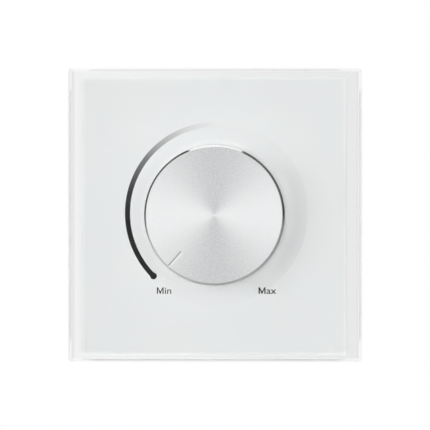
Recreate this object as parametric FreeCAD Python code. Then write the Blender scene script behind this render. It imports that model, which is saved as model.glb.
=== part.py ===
"""Rotary dimmer switch for a wall box: square glass front, turned metal knob, printed scale.

Sizes are in millimetres. X runs to the right and Z up, as seen from the room. Y is the depth:
the wall surface is at 0, the room is on the minus side and the wall box on the plus side.
The spindle's axis is the Y axis. Turning the knob clockwise, as seen from the room, is positive.
"""

import FreeCAD, Part
import math
import os

from FreeCAD import Vector

# Glass front plate, the white film behind it and the frame that carries both
plate_size = 86.0
plate_corner = 1.0
glass_thickness = 4.0
glass_arris = 0.95
film_border_left = 3.7
film_border_right = 4.5
film_border_top = 2.5
film_border_bottom = 1.9
film_gap = 0.05
film_thickness = 0.3
film_corner = 0.8
frame_setback = 4.6
frame_corner = 2.5
frame_depth = 8.0
frame_skin = 2.0
least_corner = 0.3
frame_wall_gap = 0.3
frame_rib = 1.2
rib_offset = 11.0
rib_clearance = 0.3
frame_boss_wall = 4.5
nut_recess_gap = 2.4
peg_diameter = 3.0
peg_clearance = 0.15

# Printed scale: a band that starts in a dot at the low end, centred a little up and to the right
scale_radius = 26.1
scale_width = 1.5
scale_dot_diameter = 2.0
scale_start = 225.0
scale_sweep = 270.0
scale_shift_x = 0.35
scale_shift_z = 0.53
print_thickness = 0.1

# Knob: a turned cup with a polished bevel and an engraved pointer, on a moulded insert
knob_diameter = 40.0
knob_height = 14.0
knob_gap = 1.6
knob_bevel = 0.6
knob_edge_break = 0.3
knob_wall = 1.6
knob_front_wall = 2.2
pointer_length = 5.4
pointer_width = 1.0
pointer_depth = 0.32
pointer_root_share = 0.38
pointer_rest_angle = 228.5
turn_range = 276.0
press_travel = 1.2
insert_clearance = 0.05
insert_disc = 1.5
insert_hub_wall = 2.25
insert_rib = 1.2
insert_rib_depth = 3.2
insert_rib_count = 6
hub_to_bush = 0.8
hub_slit = 0.8
hub_slit_depth = 2.6
clip_ring_wire = 0.7
clip_ring_width = 1.4
clip_ring_gap = 60.0

# Spindle and its threaded bush
spindle_diameter = 6.0
spindle_flat = 1.5
spindle_chamfer = 0.4
spindle_end_gap = 0.5
tail_step = 0.5
tail_flat = 1.2
running_gap = 0.05
bush_diameter = 10.0
bush_chamfer = 0.5
bush_flange_inset = 0.3
bush_flange_thickness = 1.5
bush_seat_gap = 0.15
bush_hole_gap = 0.3
thread_proud = 0.7
nut_wall = 2.0
nut_thickness = 2.5
washer_rim = 0.9
washer_thickness = 0.8
lock_nut_thickness = 2.0
lock_washer_thickness = 0.6
circlip_thickness = 0.5
circlip_groove_depth = 0.7
circlip_overhang = 1.3
circlip_opening = 100.0
circlip_gap = 0.1
spindle_collar = 0.5
moving_gap = 0.3

# Steel support plate; its inset puts the wall screws 60.3 apart
support_margin = 0.9
support_corner = 4.0
support_thickness = 1.2
wall_slot_inset = 5.35
wall_slot_width = 4.4
wall_slot_length = 7.4

# Potentiometer
pot_corner = 1.0
pot_wall = 1.2
pot_floor = 1.2
rotor_disc = 1.6
rotor_flange = 2.1
rotor_margin = 1.9
rotor_hub_wall = 0.75
stop_lug_half_angle = 12.0
stop_clearance_angle = 1.5
stop_radial_gap = 0.4
wiper_thickness = 0.3
wiper_reach = 1.35
wiper_width = 0.8
wiper_root = 0.8
wiper_slope = 2.4
wiper_foot = 0.7
wiper_spread = 25.0
track_board_thickness = 1.0
track_relief = 0.12
track_tail_width = 9.0
track_tail_reach = 1.7
carbon_margin = 1.0
carbon_half_opening = 30.0
lug_pitch = 2.5
lug_width = 1.0
lug_thickness = 0.4
lug_overlap = 1.2
lead_proud = 1.0
lead_hole_gap = 0.15

# Push switch behind the potentiometer
switch_depth = 7.0
switch_front_wall = 0.8
switch_rear_wall = 1.0
switch_wall = 1.7
plunger_disc = 1.6
plunger_side_gap = 0.1
plunger_peg_diameter = 2.4
plunger_peg_length = 0.9
contact_ring_thickness = 0.3
contact_ring_width = 1.8
contact_ring_edge = 0.4
contact_pin_diameter = 1.6
spring_diameter = 4.2
spring_space = 0.9
spring_wire = 0.4
spring_turns = 3.5
touch_gap = 0.05

# Rear housing, its screws and the circuit board
housing_corner = 3.0
housing_wall = 1.8
housing_edge_chamfer = 1.0
boss_inset = 4.0
boss_diameter = 6.4
boss_shoulder_diameter = 9.2
housing_screw_diameter = 2.5
housing_screw_length = 9.0
housing_screw_head_diameter = 5.0
housing_screw_head_height = 1.6
cross_slot_length = 3.0
cross_slot_width = 0.7
cross_slot_depth = 0.8
screw_hole_gap = 0.15
pilot_gap = 0.05
pilot_spare = 1.0
board_thickness = 1.6
board_clearance = 0.3
vent_width = 1.4
vent_length = 11.0
vent_pitch = 3.6
vent_count = 6
vent_start = 5.0

# Terminals on the back of the board
terminal_ways = 4
terminal_web = 1.2
terminal_wall = 0.65
terminal_end_wall = 0.3
terminal_chamfer = 0.5
terminal_height = 9.5
terminal_length = 9.0
terminal_side_gap = 0.6
terminal_rear_gap = 0.3
clamp_height = 5.5
clamp_length = 5.6
clamp_wall = 0.5
clamp_top = 1.6
clamp_gap = 0.1
terminal_floor = 1.0
terminal_screw_diameter = 2.4
terminal_screw_head_diameter = 3.4
terminal_screw_head_height = 1.6
terminal_screw_hole_gap = 0.2
terminal_screw_entry = 0.4
terminal_pin_diameter = 1.0
driver_hole_margin = 0.2
wire_entry_side = 0.15
wire_entry_rim = 0.2
screw_slot_width = 0.6
screw_slot_depth = 0.8

# Power components on the front of the board
part_gap = 0.6
component_lead = 0.7
choke_outer_diameter = 12.4
choke_inner_diameter = 6.4
choke_height = 5.4
choke_wire = 0.7
choke_turns = 15
choke_turn_angle = 20.0
film_capacitor_z = -2.0
film_capacitor_width = 7.0
film_capacitor_length = 17.0
film_capacitor_height = 11.0
film_capacitor_corner = 0.6
film_capacitor_edge = 0.4
film_capacitor_lead_spacing = 12.5
fuse_diameter = 5.0
fuse_cap_diameter = 5.2
fuse_length = 20.0
fuse_cap_length = 5.0
fuse_clip_thickness = 0.4
fuse_clip_width = 3.6
fuse_clip_mouth = 3.4
fuse_above_board = 1.2
sink_top_gap = 2.0
triac_to_pot = 1.0
sink_width = 24.0
sink_base = 1.8
sink_fin_height = 5.4
sink_fin_thickness = 1.0
sink_fin_count = 6
sink_depth = 14.4
triac_width = 8.0
triac_thickness = 2.8
triac_height = 10.6
triac_above_board = 3.0
triac_hole_depth = 3.8
triac_hole_gap = 0.2
triac_lead_pitch = 2.3
triac_screw_diameter = 2.6
triac_screw_head_diameter = 5.0
triac_screw_head_height = 1.7
varistor_diameter = 10.0
varistor_thickness = 3.4
varistor_edge = 1.0
varistor_above_board = 1.6
varistor_lead_spacing = 5.0
small_capacitor_diameter = 6.3
small_capacitor_height = 11.0
small_capacitor_edge = 0.5
small_capacitor_groove_depth = 0.3
small_capacitor_groove_width = 0.5
small_capacitor_groove_from_board = 2.0
small_capacitor_lead_spacing = 2.5
resistor_pitch = 3.2
resistor_count = 3
resistor_diameter = 2.4
resistor_length = 6.4
resistor_edge = 0.5
resistor_lead_span = 9.6
resistor_above_board = 0.4

# Front plate, bush and knob, each worked out from what it holds or fits in
frame_size = plate_size - 2 * frame_setback
support_size = frame_size - 2 * (frame_skin + support_margin)
wall_screw_spacing = support_size - 2 * wall_slot_inset
bush_hole_diameter = bush_diameter + 2 * bush_hole_gap
nut_across_flats = bush_diameter + 2 * nut_wall
nut_corner_diameter = nut_across_flats * 2 / math.sqrt(3)
nut_recess_diameter = nut_corner_diameter + 2 * nut_recess_gap
frame_boss_diameter = nut_recess_diameter + 2 * frame_boss_wall
washer_diameter = nut_corner_diameter + 2 * washer_rim
insert_hub_diameter = spindle_diameter + 2 * (insert_clearance + insert_hub_wall)
clip_seat_diameter = insert_hub_diameter - clip_ring_wire
spindle_bore_diameter = spindle_diameter + 2 * running_gap
circlip_groove_diameter = spindle_diameter - 2 * circlip_groove_depth
circlip_diameter = spindle_diameter + 2 * circlip_overhang
tail_diameter = spindle_diameter - 2 * tail_step

# Potentiometer and switch, from the spindle and the spring outwards
rotor_hub_diameter = tail_diameter + 2 * (running_gap + rotor_hub_wall)
rotor_disc_diameter = rotor_hub_diameter + 2 * rotor_flange
pot_cavity_diameter = rotor_disc_diameter + 2 * rotor_margin
pot_size = pot_cavity_diameter + 2 * pot_wall
stop_lug_reach = pot_cavity_diameter / 2 - stop_radial_gap
bush_flange_size = pot_size - 2 * bush_flange_inset
contact_ring_inner = spring_diameter + 2 * spring_space
contact_ring_outer = contact_ring_inner + 2 * contact_ring_width
contact_pin_offset = (contact_ring_outer + contact_ring_inner) / 4
plunger_diameter = contact_ring_outer + 2 * contact_ring_edge
switch_bore_diameter = plunger_diameter + 2 * plunger_side_gap
switch_size = switch_bore_diameter + 2 * switch_wall

# Terminals, from the screw's head outwards
terminal_screw_hole_diameter = terminal_screw_head_diameter + 2 * terminal_screw_hole_gap
terminal_pitch = terminal_screw_hole_diameter + terminal_web
terminal_chamber = terminal_pitch - 2 * terminal_wall
terminal_width = terminal_ways * terminal_pitch + 2 * terminal_end_wall
driver_hole_diameter = terminal_screw_hole_diameter + 2 * driver_hole_margin
wire_window_height = clamp_height - clamp_wall - clamp_top
wire_entry_width = terminal_chamber - 2 * wire_entry_side
wire_entry_height = wire_window_height + 2 * wire_entry_rim

# Where the components stand round the potentiometer; the housing is sized to hold them
beside_pot = pot_size / 2 + part_gap
fuse_clip_reach = fuse_cap_diameter / 2 + fuse_clip_thickness
choke_reach = choke_outer_diameter / 2 + choke_wire
film_capacitor_x = beside_pot + film_capacitor_width / 2
fuse_x = beside_pot + film_capacitor_width + part_gap / 2 + fuse_clip_reach
choke_x = -(beside_pot + choke_reach)
varistor_x = choke_x
varistor_z = choke_reach + part_gap + varistor_thickness / 2
resistor_x = -((terminal_width + resistor_lead_span + component_lead) / 2 + part_gap)
resistor_z = -(choke_reach + part_gap + resistor_diameter / 2)
sink_base_z = pot_size / 2 + triac_to_pot + triac_screw_head_height + triac_thickness
small_capacitor_space = small_capacitor_diameter / 2 + part_gap
film_capacitor_low = film_capacitor_z - film_capacitor_length / 2
small_capacitor_places = [
    (terminal_width / 2 + small_capacitor_space, film_capacitor_low - small_capacitor_space),
    (sink_width / 2 + small_capacitor_space, fuse_length / 2 + small_capacitor_space),
]
lug_row_z = -(pot_size / 2 + track_tail_reach + lug_thickness / 2 + touch_gap)
housing_inside = max(
    fuse_x + fuse_clip_reach + part_gap,
    beside_pot + 2 * choke_reach + part_gap / 2,
    sink_base_z + sink_base + sink_fin_height + sink_top_gap,
    part_gap + terminal_length + terminal_side_gap - lug_row_z,
)
housing_size = 2 * (housing_inside + housing_wall)
boss_offset = housing_size / 2 - boss_inset

# Depths that follow from the stack, from the knob's face back to the end of the housing
support_face = -support_thickness
frame_face = -frame_depth
frame_inside = frame_face + frame_skin
film_face = frame_face - film_thickness
glass_back = film_face - film_gap
glass_face = glass_back - glass_thickness
washer_face = glass_face - washer_thickness
nut_face = washer_face - nut_thickness
bush_end = nut_face - thread_proud
knob_back = glass_face - knob_gap
knob_face = knob_back - knob_height
knob_floor = knob_face + knob_front_wall
insert_back = knob_floor + insert_disc
hub_back = bush_end - press_travel - hub_to_bush
spindle_front = knob_floor + spindle_end_gap
flange_back = bush_flange_thickness
circlip_face = flange_back + circlip_gap
circlip_back = circlip_face + circlip_thickness
collar_back = circlip_back + spindle_collar
rotor_face = collar_back + press_travel + moving_gap
rotor_back = rotor_face + rotor_disc
wiper_back = rotor_back + wiper_thickness
track_face = wiper_back + wiper_reach + moving_gap / 2 + track_relief
track_back = track_face + track_board_thickness
pot_back = track_back + pot_floor
switch_front = pot_back
switch_inside = switch_front + switch_front_wall
plunger_face = switch_inside + plunger_side_gap
plunger_back = plunger_face + plunger_disc
contact_ring_back = plunger_back + contact_ring_thickness
contact_pin_face = contact_ring_back + press_travel + moving_gap
switch_back = switch_front + switch_depth
switch_floor = switch_back - switch_rear_wall
board_face = switch_back
board_back = board_face + board_thickness
lead_end = board_back + lead_proud
terminal_back = board_back + terminal_height
housing_floor = terminal_back + terminal_rear_gap
housing_back = housing_floor + housing_wall

DEPTH = Vector(0, 1, 0)
UP = Vector(0, 0, 1)
ORIGIN = Vector(0, 0, 0)
FULL_TURN = 360.0
DOWNWARDS = 270.0


# Shapes that several pieces are made from


def point(radius, angle, depth, x=0.0, z=0.0):
    """A point on a circle round (x, z); the angle counts anticlockwise from +X, seen from the room."""
    turn = math.radians(angle)
    return Vector(x + radius * math.cos(turn), depth, z + radius * math.sin(turn))


def block(width, height, front, back, corner=0.0, x=0.0, z=0.0):
    """A block from one depth to another, centred on (x, z), with its four depth edges rounded."""
    base = Vector(x - width / 2, front, z - height / 2)
    solid = Part.makeBox(width, back - front, height, base)
    if corner > 0:
        sides = [e for e in solid.Edges if abs(e.Vertexes[0].Y - e.Vertexes[1].Y) > (back - front) / 2]
        solid = solid.makeFillet(corner, sides)
    return solid


def rod(diameter, front, back, x=0.0, z=0.0):
    """A round bar along the depth."""
    return Part.makeCylinder(diameter / 2, back - front, Vector(x, front, z), DEPTH)


def tube(outer, inner, front, back, x=0.0, z=0.0):
    """A ring or tube along the depth, from its two diameters."""
    return rod(outer, front, back, x, z).cut(rod(inner, front, back, x, z))


def turned(profile):
    """A solid turned about the spindle's axis from (radius, depth) corners."""
    corners = [Vector(radius, depth, 0) for radius, depth in profile]
    outline = Part.makePolygon(corners + corners[:1])
    return Part.Face(outline).revolve(ORIGIN, DEPTH, FULL_TURN)


def sector(inner, outer, start, end, front, back, x=0.0, z=0.0):
    """A piece of a ring between two radii and two angles."""
    middle = (start + end) / 2
    outside = [point(outer, angle, front, x, z) for angle in (start, middle, end)]
    inside = [point(inner, angle, front, x, z) for angle in (end, middle, start)]
    edges = [
        Part.Arc(*outside).toShape(),
        Part.makeLine(outside[2], inside[0]),
        Part.Arc(*inside).toShape(),
        Part.makeLine(inside[2], outside[0]),
    ]
    return Part.Face(Part.Wire(edges)).extrude(DEPTH * (back - front))


def hexagon(across_flats, front, back):
    """A hexagonal bar round the spindle's axis."""
    reach = across_flats / math.sqrt(3)
    corners = [point(reach, 60 * side, front) for side in range(7)]
    return Part.Face(Part.makePolygon(corners)).extrude(DEPTH * (back - front))


def d_rod(diameter, flat_at, front, back, facing):
    """A round bar with one flat, which lies flat_at from the axis and faces the given angle."""
    size = diameter
    off = Part.makeBox(size, back - front, 2 * size, Vector(flat_at, front, -size))
    off.rotate(ORIGIN, DEPTH, -facing)
    return rod(diameter, front, back).cut(off)


def fused(shapes):
    """One solid from shapes that touch or overlap."""
    whole = shapes[0].fuse(shapes[1:])
    return whole.removeSplitter()


def turned_copy(shape, angle, centre=ORIGIN):
    """A copy turned anticlockwise about the depth axis, seen from the room."""
    copy = shape.copy()
    copy.rotate(centre, DEPTH, -angle)
    return copy


def edges_at(shape, depth, outside=0.0):
    """Edges that lie wholly at one depth and reach further out than the given distance."""
    found = []
    for edge in shape.Edges:
        box = edge.BoundBox
        flat = abs(box.YMin - depth) < 1e-4 and abs(box.YMax - depth) < 1e-4
        if flat and max(abs(box.XMin), abs(box.XMax), abs(box.ZMin), abs(box.ZMax)) > outside:
            found.append(edge)
    return found


def save(node, *solids):
    """Writes one node, which may hold several separate solids."""
    shape = solids[0] if len(solids) == 1 else Part.makeCompound(list(solids))
    shape.exportStep(os.path.join("parts", node + ".step"))


# Front plate


def glass_panel():
    """Clear plate with ground edges and a hole for the threaded bush."""
    plate = block(plate_size, plate_size, glass_face, glass_back, plate_corner)
    plate = plate.makeChamfer(glass_arris, edges_at(plate, glass_face))
    return plate.cut(rod(bush_hole_diameter, glass_face, glass_back))


def scale_band():
    """The printed band with the dot that starts it."""
    half = scale_width / 2
    last = scale_start - scale_sweep
    back = film_face + print_thickness
    shift = (scale_shift_x, scale_shift_z)
    band = sector(scale_radius - half, scale_radius + half, last, scale_start, film_face, back, *shift)
    dot = point(scale_radius, scale_start, film_face, *shift)
    return fused([band, rod(scale_dot_diameter, film_face, back, dot.x, dot.z)])


def backing_film():
    """White film on the back of the glass, short of its edges, with the scale let into its face."""
    width = plate_size - film_border_left - film_border_right
    height = plate_size - film_border_top - film_border_bottom
    x = (film_border_left - film_border_right) / 2
    z = (film_border_bottom - film_border_top) / 2
    film = block(width, height, film_face, frame_face, film_corner, x, z)
    film = film.cut(rod(bush_hole_diameter, film_face, frame_face))
    return film.cut(scale_band())


def front_frame():
    """Moulded tray behind the glass: skirt, crossed ribs, centre boss and two locating pegs."""
    inner = frame_size - 2 * frame_skin
    skirt_end = -frame_wall_gap
    tray = block(frame_size, frame_size, frame_face, skirt_end, frame_corner)
    inner_corner = max(frame_corner - frame_skin, least_corner)
    tray = tray.cut(block(inner, inner, frame_inside, skirt_end, inner_corner))
    rib_end = support_face - rib_clearance
    pieces = [tray, rod(frame_boss_diameter, frame_inside, support_face)]
    for side in (-1, 1):
        offset = side * rib_offset
        pieces.append(block(frame_rib, inner, frame_inside, rib_end, x=offset))
        pieces.append(block(inner, frame_rib, frame_inside, rib_end, z=offset))
        pieces.append(rod(peg_diameter, frame_inside, support_face / 2, offset, offset))
    frame = fused(pieces)
    frame = frame.cut(rod(nut_recess_diameter, frame_inside, support_face))
    return frame.cut(rod(bush_hole_diameter, frame_face, frame_inside))


# Knob and what turns with it


def pointer_groove():
    """The cut for the pointer: a V groove from the knob's rim inwards, steeper on its upper side."""
    rim = knob_diameter / 2
    start = rim - knob_bevel - pointer_length
    upper = -pointer_width / 2
    root = upper + pointer_width * pointer_root_share
    across = [(upper, knob_face), (root, knob_face + pointer_depth), (-upper, knob_face)]
    corners = [Vector(start, depth, place) for place, depth in across]
    groove = Part.Face(Part.makePolygon(corners + corners[:1])).extrude(Vector(rim, 0, 0))
    return turned_copy(groove, pointer_rest_angle)


def knob_cap():
    """Turned aluminium cup with a flat face, a bevelled rim and the engraved pointer."""
    rim = knob_diameter / 2
    bore = rim - knob_wall
    cup = turned(
        [
            (0, knob_face),
            (rim - knob_bevel, knob_face),
            (rim, knob_face + knob_bevel),
            (rim, knob_back - knob_edge_break),
            (rim - knob_edge_break, knob_back),
            (bore, knob_back),
            (bore, knob_floor),
            (0, knob_floor),
        ]
    )
    return cup.cut(pointer_groove())


def knob_insert():
    """Moulded insert glued in the knob: disc, ribs and a slit hub with a D-shaped bore."""
    rim = knob_diameter / 2 - knob_wall - insert_clearance
    hub = insert_hub_diameter / 2
    disc = rod(2 * rim, knob_floor, insert_back)
    pieces = [disc, rod(insert_hub_diameter, insert_back, hub_back)]
    rib_back = insert_back + insert_rib_depth
    for number in range(insert_rib_count):
        rib = Part.makeBox(rim - hub / 2, rib_back - insert_back, insert_rib)
        rib.translate(Vector(hub / 2, insert_back, -insert_rib / 2))
        angle = FULL_TURN * (number + 0.5) / insert_rib_count
        pieces.append(turned_copy(rib, angle).common(rod(2 * rim, insert_back, rib_back)))
    insert = fused(pieces)
    bore = spindle_diameter + 2 * insert_clearance
    flat = spindle_diameter / 2 - spindle_flat + insert_clearance
    insert = insert.cut(d_rod(bore, flat, knob_floor, hub_back, pointer_rest_angle))
    slit = block(insert_hub_diameter, hub_slit, hub_back - hub_slit_depth, hub_back)
    insert = insert.cut(turned_copy(slit, pointer_rest_angle + 90))
    front = hub_back - hub_slit_depth / 2 - clip_ring_width / 2
    groove = tube(insert_hub_diameter, clip_seat_diameter, front, front + clip_ring_width)
    return insert.cut(groove)


def hub_clip():
    """Spring ring in the hub's groove, which keeps the hub tight on the spindle."""
    front = hub_back - hub_slit_depth / 2 - clip_ring_width / 2 + touch_gap
    inner = clip_seat_diameter / 2 + touch_gap
    gap_middle = pointer_rest_angle + 180
    start = gap_middle + clip_ring_gap / 2 - FULL_TURN
    end = gap_middle - clip_ring_gap / 2
    return sector(inner, inner + clip_ring_wire, start, end, front, front + clip_ring_width - 2 * touch_gap)


def spindle():
    """Turned spindle: flat for the knob, groove for the circlip, flatted tail for the rotor."""
    body = spindle_diameter / 2
    tail = tail_diameter / 2
    groove = circlip_groove_diameter / 2
    tail_end = plunger_face - touch_gap
    bar = turned(
        [
            (0, spindle_front),
            (body - spindle_chamfer, spindle_front),
            (body, spindle_front + spindle_chamfer),
            (body, circlip_face),
            (groove, circlip_face),
            (groove, circlip_back),
            (body, circlip_back),
            (body, collar_back),
            (tail, collar_back),
            (tail, tail_end),
            (0, tail_end),
        ]
    )
    front_flat = Part.makeBox(body, hub_back - spindle_front, 2 * body)
    front_flat.translate(Vector(body - spindle_flat, spindle_front, -body))
    tail_off = Part.makeBox(tail, tail_end - collar_back, 2 * tail)
    tail_off.translate(Vector(tail - tail_flat, collar_back, -tail))
    for off in (front_flat, tail_off):
        bar = bar.cut(turned_copy(off, pointer_rest_angle))
    return bar


def spindle_circlip():
    """Open ring in the spindle's groove, which stops the spindle from being pulled out."""
    inner = circlip_groove_diameter / 2 + touch_gap / 2
    half = 180 - circlip_opening / 2
    return sector(inner, circlip_diameter / 2, -half, half, circlip_face, circlip_back)


# Bush, nuts and washers


def spindle_bush():
    """Threaded bush with a square flange that bears on the back of the support plate."""
    outer = bush_diameter / 2
    bore = spindle_bore_diameter / 2
    barrel = turned(
        [
            (bore, bush_end),
            (outer - bush_chamfer, bush_end),
            (outer, bush_end + bush_chamfer),
            (outer, 0),
            (outer, flange_back),
            (bore, flange_back),
        ]
    )
    flange = block(bush_flange_size, bush_flange_size, 0, flange_back, pot_corner)
    flange = flange.cut(rod(spindle_bore_diameter, 0, flange_back))
    return fused([barrel, flange])


def nut(front, back):
    """Hexagon nut round the bush, its corners rounded off on both faces."""
    corner = nut_corner_diameter / 2
    ease = corner - nut_across_flats / 2
    bore = bush_diameter / 2 + touch_gap
    envelope = turned(
        [
            (bore, front),
            (corner - ease, front),
            (corner, front + ease / 2),
            (corner, back - ease / 2),
            (corner - ease, back),
            (bore, back),
        ]
    )
    return envelope.common(hexagon(nut_across_flats, front, back))


def front_washer():
    """Flat washer on the glass."""
    return tube(washer_diameter, bush_diameter + 2 * touch_gap, washer_face, glass_face)


def lock_washer():
    """Toothed washer between the lock nut and the support plate."""
    front = support_face - lock_washer_thickness
    ring = tube(nut_across_flats, bush_diameter + 2 * touch_gap, front, support_face)
    teeth = 12
    notch = nut_across_flats * math.pi / teeth / 2
    for number in range(teeth):
        cut = block(notch, notch, front, support_face, x=nut_across_flats / 2)
        ring = ring.cut(turned_copy(cut, FULL_TURN * number / teeth))
    return ring


# Support plate


def wall_slot(x, z):
    """A wall-screw slot, which runs outwards from the middle of the plate."""
    run = wall_slot_length - wall_slot_width
    along_x = run if x else 0
    along_z = run if z else 0
    ends = [
        rod(wall_slot_width, support_face, 0, x + side * along_x / 2, z + side * along_z / 2)
        for side in (-1, 1)
    ]
    middle = block(along_x or wall_slot_width, along_z or wall_slot_width, support_face, 0, x=x, z=z)
    return fused([ends[0], middle, ends[1]])


def corner_places():
    """The four housing screws' places."""
    return [(sx * boss_offset, sz * boss_offset) for sx in (-1, 1) for sz in (-1, 1)]


def support_plate():
    """Stamped steel plate that is screwed to the wall box and carries everything."""
    plate = block(support_size, support_size, support_face, 0, support_corner)
    plate = plate.cut(rod(bush_diameter + 2 * bush_seat_gap, support_face, 0))
    half = wall_screw_spacing / 2
    for x, z in ((-half, 0), (half, 0), (0, -half), (0, half)):
        plate = plate.cut(wall_slot(x, z))
    for x, z in corner_places():
        plate = plate.cut(rod(housing_screw_diameter + 2 * screw_hole_gap, support_face, 0, x, z))
    for place in (-rib_offset, rib_offset):
        plate = plate.cut(rod(peg_diameter + 2 * peg_clearance, support_face, 0, place, place))
    return plate


def housing_screw(x, z):
    """Pan-head screw with a cross slot, driven from the front into a corner boss."""
    head_face = support_face - housing_screw_head_height
    head = rod(housing_screw_head_diameter, head_face, support_face, x, z)
    head = head.makeFillet(housing_screw_head_height / 2, edges_at(head, head_face))
    shank = rod(housing_screw_diameter, support_face, support_face + housing_screw_length, x, z)
    screw = fused([head, shank])
    for width, height in ((cross_slot_length, cross_slot_width), (cross_slot_width, cross_slot_length)):
        screw = screw.cut(block(width, height, head_face, head_face + cross_slot_depth, x=x, z=z))
    return screw


# Potentiometer


def stop_half_angle():
    """Half the angle that the fixed stop fills, which leaves the knob its turning range."""
    return (FULL_TURN - turn_range) / 2 - stop_lug_half_angle - stop_clearance_angle


def pot_case():
    """Square moulded case with a round cavity, the end stop and a slot for the track's tail."""
    case = block(pot_size, pot_size, flange_back, pot_back, pot_corner)
    case = case.cut(rod(pot_cavity_diameter, flange_back, track_back))
    case = case.cut(rod(rotor_hub_diameter + 2 * running_gap, track_back, pot_back))
    inner = rotor_disc_diameter / 2 + stop_radial_gap
    reach = pot_cavity_diameter / 2 + touch_gap
    half = stop_half_angle()
    stop = sector(inner, reach, DOWNWARDS - half, DOWNWARDS + half, flange_back, rotor_back + touch_gap)
    case = fused([case, stop])
    tail_gap = 2 * touch_gap
    slot = block(track_tail_width + tail_gap, pot_size, track_face - touch_gap, track_back, z=-pot_size / 2)
    return case.cut(slot)


def resistance_track():
    """Insulating disc with a raised carbon horseshoe and a tail for the solder lugs."""
    disc = rod(pot_cavity_diameter - 2 * touch_gap, track_face, track_back)
    tail_end = pot_size / 2 + track_tail_reach
    tail = block(track_tail_width, tail_end, track_face, track_back, z=-tail_end / 2)
    inner = rotor_hub_diameter / 2 + carbon_margin
    outer = pot_cavity_diameter / 2 - carbon_margin
    start = carbon_half_opening - 90
    end = DOWNWARDS - carbon_half_opening
    carbon = sector(inner, outer, start, end, track_face - track_relief, track_face)
    board = fused([disc, tail, carbon])
    return board.cut(rod(rotor_hub_diameter + 2 * moving_gap, track_face, track_back))


def lug_places():
    """The three solder lugs' places along X."""
    return [lug_pitch * number for number in (-1, 0, 1)]


def pot_lugs():
    """Three solder lugs, bent from the track's tail back to the board."""
    front = track_face - lug_thickness
    foot_z = lug_row_z + lug_overlap / 2
    lugs = []
    for x in lug_places():
        leg = block(lug_width, lug_thickness, front, lead_end, x=x, z=lug_row_z)
        foot = block(lug_width, lug_overlap, front, track_face, x=x, z=foot_z)
        lugs.append(fused([leg, foot]))
    return lugs


def pot_rotor():
    """Moulded rotor with a D-shaped bore, its hub running in the case and a lug for the end stop."""
    hub_end = pot_back - touch_gap
    disc = rod(rotor_disc_diameter, rotor_face, rotor_back)
    hub = rod(rotor_hub_diameter, rotor_face, hub_end)
    inner = rotor_disc_diameter / 2 - 1
    start = pointer_rest_angle - stop_lug_half_angle
    end = pointer_rest_angle + stop_lug_half_angle
    lug = sector(inner, stop_lug_reach, start, end, rotor_face, rotor_back)
    bore = tail_diameter + 2 * running_gap
    flat = tail_diameter / 2 - tail_flat + running_gap
    return fused([disc, hub, lug]).cut(d_rod(bore, flat, rotor_face, hub_end, pointer_rest_angle))


def pot_wiper():
    """Sprung metal ring on the rotor with two bent fingers that reach towards the track."""
    ring = tube(rotor_disc_diameter, rotor_hub_diameter + 2 * touch_gap, rotor_back, wiper_back)
    tip = wiper_back + wiper_reach
    bend = wiper_root / 2
    knee = bend + wiper_slope
    toe = knee + wiper_foot
    tip_front = tip - wiper_thickness
    front_edge = [(-bend, rotor_back), (bend, rotor_back), (knee, tip_front), (toe, tip_front)]
    back_edge = [(toe, tip), (knee, tip), (bend, wiper_back), (-bend, wiper_back)]
    side = rotor_disc_diameter / 2 - wiper_width
    corners = [Vector(side, depth, run) for run, depth in front_edge + back_edge]
    finger = Part.Face(Part.makePolygon(corners + corners[:1])).extrude(Vector(wiper_width, 0, 0))
    middle = pointer_rest_angle + 180
    fingers = [turned_copy(finger, middle + turn) for turn in (-wiper_spread, wiper_spread)]
    return fused([ring] + fingers)


# Push switch


def switch_case():
    """Closed box behind the potentiometer with a round chamber for the plunger."""
    case = block(switch_size, switch_size, switch_front, switch_back, pot_corner)
    case = case.cut(rod(switch_bore_diameter, switch_inside, switch_floor))
    case = case.cut(rod(tail_diameter + 2 * moving_gap, switch_front, switch_inside))
    for side in (-1, 1):
        hole = rod(contact_pin_diameter + 2 * touch_gap, switch_floor, switch_back, side * contact_pin_offset)
        case = case.cut(hole)
    return case


def switch_plunger():
    """Plunger that the spindle's end pushes; its peg centres the return spring."""
    disc = rod(plunger_diameter, plunger_face, plunger_back)
    peg = rod(plunger_peg_diameter, plunger_back, plunger_back + plunger_peg_length)
    return fused([disc, peg])


def contact_ring():
    """Metal ring on the plunger that bridges the two contact pins when it is pressed."""
    return tube(contact_ring_outer, contact_ring_inner, plunger_back, contact_ring_back)


def contact_pins():
    """Two fixed contacts that run through the case's floor into the board."""
    places = (-contact_pin_offset, contact_pin_offset)
    return [rod(contact_pin_diameter, contact_pin_face, lead_end, x) for x in places]


def return_spring():
    """Coil spring between the plunger and the switch's floor."""
    wire = spring_wire / 2
    radius = spring_diameter / 2 - wire
    length = switch_floor - plunger_back - spring_wire - 2 * touch_gap
    path = Part.makeHelix(length / spring_turns, length, radius)
    section = Part.Wire(Part.makeCircle(wire, Vector(radius, 0, 0), DEPTH))
    spring = Part.Wire(path.Edges).makePipeShell([section], True, True)
    spring.rotate(ORIGIN, Vector(1, 0, 0), -90)
    spring.translate(Vector(0, plunger_back + touch_gap + wire, 0))
    return spring


# Housing and board


def terminal_places():
    """The terminals' places along X."""
    middle = (terminal_ways - 1) / 2
    return [(number - middle) * terminal_pitch for number in range(terminal_ways)]


def terminal_z():
    """The height of the middle of the terminal block."""
    return -(housing_inside - terminal_side_gap - terminal_length / 2)


def clamp_base():
    """The depth of the clamps' undersides."""
    return board_back + terminal_floor + clamp_gap


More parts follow.
